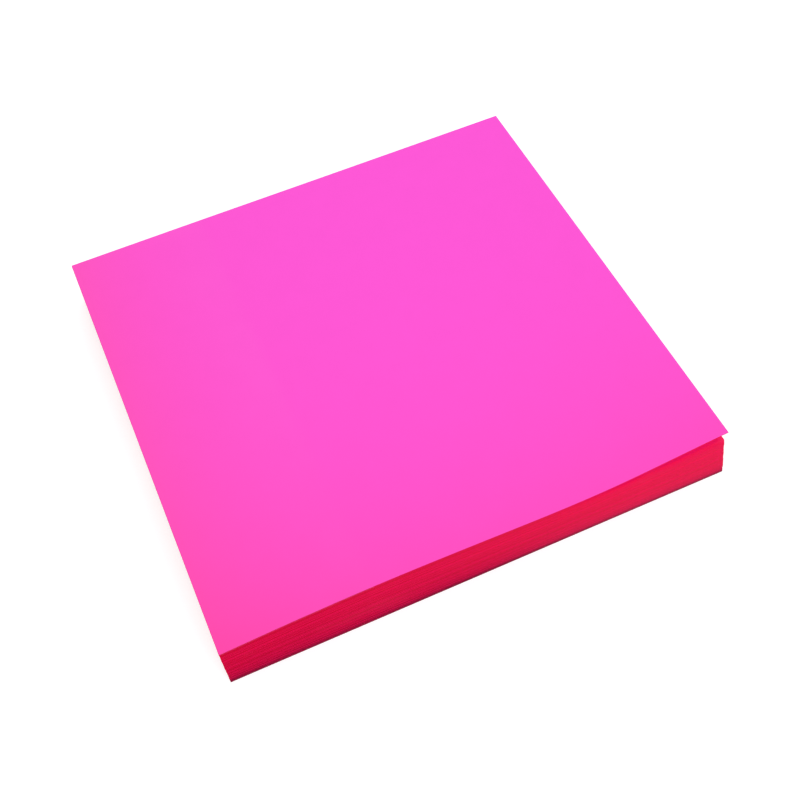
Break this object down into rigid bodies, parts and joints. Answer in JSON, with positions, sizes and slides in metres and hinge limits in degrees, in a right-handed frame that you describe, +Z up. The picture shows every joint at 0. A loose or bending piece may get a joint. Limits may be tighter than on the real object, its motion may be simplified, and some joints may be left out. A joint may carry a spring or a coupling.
{
  "type": "sticky note pad",
  "caption": "Square pad of bright pink sticky notes, glued along one edge, with its free corner fanned up and the top note lifted.",
  "frame": {"origin": "middle of the pad's bottom, on the surface that it lies on", "axes": "+Z up through the stack of notes, +Y towards the glued edge, -Y towards the free edges; the fanned corner is at -X, -Y"},
  "size_m": [0.076, 0.076, 0.01],
  "materials": {
    "note_paper": "matte",
    "note_edges": "matte",
    "glue": "satin",
    "release_paper": "satin"
  },
  "bodies": {
    "root": {"backing_sheet": "release_paper", "note_block": "note_edges", "glue_band": "glue", "top_note": "note_paper"}
  },
  "joints": []
}
